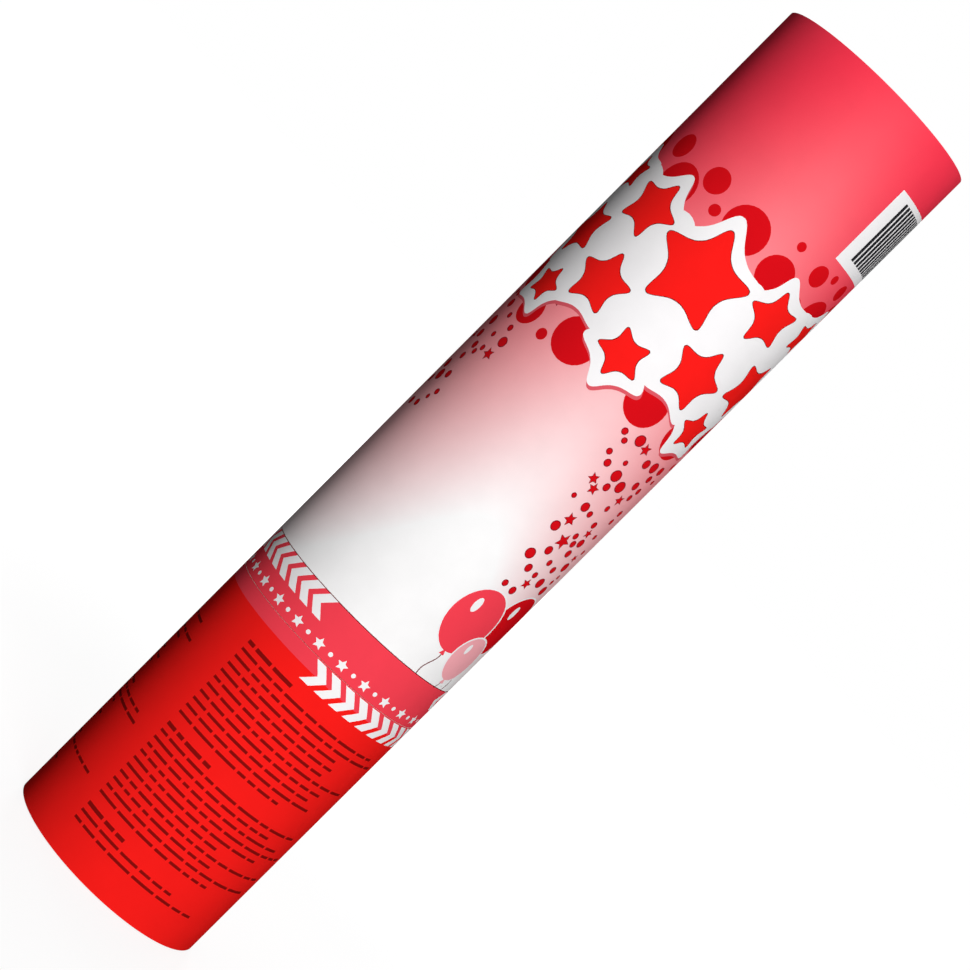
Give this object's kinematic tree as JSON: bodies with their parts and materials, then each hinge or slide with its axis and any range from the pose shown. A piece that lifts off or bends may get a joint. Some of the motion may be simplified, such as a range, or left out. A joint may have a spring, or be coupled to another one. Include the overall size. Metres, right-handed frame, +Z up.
{
  "type": "confetti popper",
  "caption": "Hand-held card tube popper that turns at a split to lift a plug out of an air bottle and drive a wad and paper slips from its closed muzzle.",
  "frame": {"origin": "middle of the foot, on the surface that the popper stands on", "axes": "+Z up the tube to the muzzle, -Y the front of the print, +X to the right seen from the front"},
  "size_m": [0.06, 0.06, 0.276],
  "materials": {
    "tube_card": "matte",
    "printed_paper": "satin",
    "white_plastic": "matte",
    "grey_plastic": "satin",
    "bottle_aluminium": "satin",
    "spring_steel": "satin",
    "seal_rubber": "matte",
    "wad_card": "matte",
    "wad_foam": "matte",
    "confetti_paper": "matte",
    "gold_board": "polished",
    "clear_plastic": "gloss"
  },
  "bodies": {
    "twist_base": {"base_tube": "tube_card", "base_wrap": "printed_paper", "base_plug": "white_plastic", "gas_bottle": "bottle_aluminium", "bottle_holder": "white_plastic", "lock_collar": "grey_plastic", "neck_clip": "spring_steel", "swivel_ring": "spring_steel"},
    "barrel": {"barrel_tube": "tube_card", "barrel_wrap": "printed_paper", "barrel_insert": "white_plastic"},
    "plug": {"release_plug": "grey_plastic", "cross_pin": "spring_steel", "o_ring_lower": "seal_rubber", "o_ring_upper": "seal_rubber"},
    "load": {"wad_disc": "wad_card", "wad_pad": "wad_foam", "confetti_tier_1": "confetti_paper", "confetti_tier_2": "confetti_paper", "confetti_tier_3": "confetti_paper"},
    "seal": {"muzzle_seal": "gold_board"},
    "cap": {"muzzle_cap": "clear_plastic"}
  },
  "joints": [
    {"name": "barrel_twist", "type": "hinge", "parent": "twist_base", "child": "barrel", "pos_m": [0, 0, 0.0812], "axis": [0, 0, -1], "range_deg": [0, 90]},
    {"name": "plug_lift", "type": "slide", "parent": "barrel", "child": "plug", "axis": [0, 0, 1], "range_m": [0, 0.00905]},
    {"name": "load_eject", "type": "slide", "parent": "barrel", "child": "load", "axis": [0, 0, 1], "range_m": [0, 0.166]},
    {"name": "seal_lift", "type": "slide", "parent": "load", "child": "seal", "axis": [0, 0, 1], "range_m": [0, 0.03]},
    {"name": "cap_lift", "type": "slide", "parent": "seal", "child": "cap", "axis": [0, 0, 1], "range_m": [0, 0.04]}
  ],
  "couplings": [
    {"joint": "plug_lift", "follows": "barrel_twist", "m_per_rad": 0.0057296}
  ]
}
